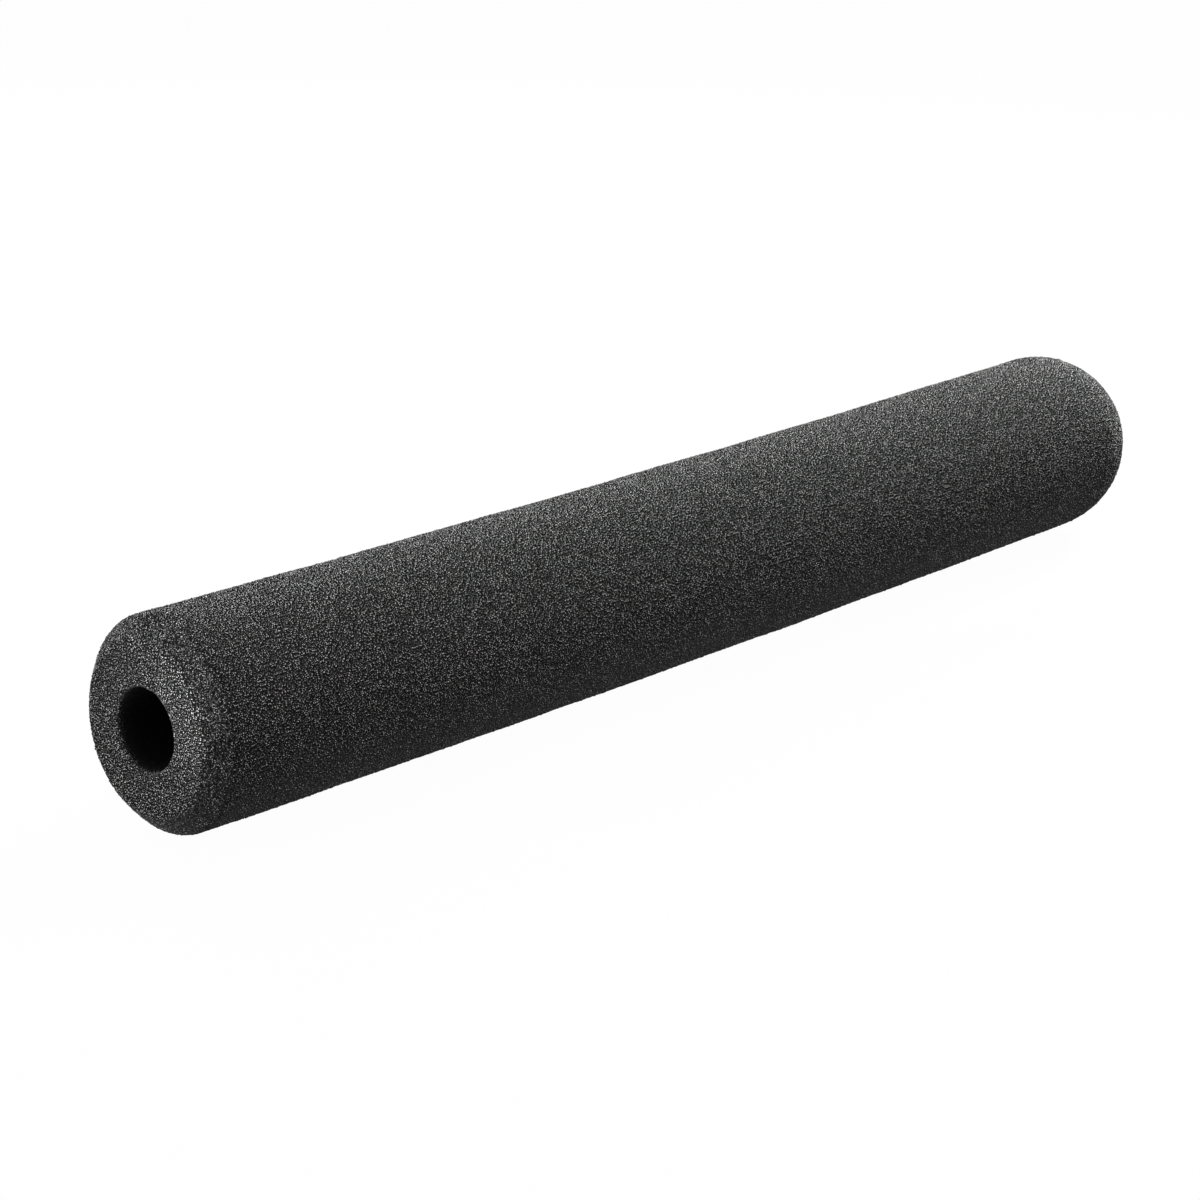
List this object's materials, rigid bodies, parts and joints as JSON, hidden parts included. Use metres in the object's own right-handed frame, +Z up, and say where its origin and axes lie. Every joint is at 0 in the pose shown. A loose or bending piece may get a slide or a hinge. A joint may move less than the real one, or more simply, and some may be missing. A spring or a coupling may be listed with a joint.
{
  "type": "foam microphone windscreen",
  "caption": "Long charcoal foam sleeve with a blind round bore, a bevelled open end and a domed closed tip, pulled over a shotgun microphone to keep wind off it.",
  "frame": {"origin": "on the axis at mid length, which is the centre of the bounding box", "axes": "+X along the axis towards the domed closed tip, with the open end at -X; +Z up, the foam lying on its side"},
  "size_m": [0.36, 0.05, 0.05],
  "materials": {
    "open_cell_foam": "matt open-cell polyurethane foam, coarse open pores, charcoal"
  },
  "bodies": {
    "root": {"foam_windscreen": "open_cell_foam"}
  },
  "joints": []
}
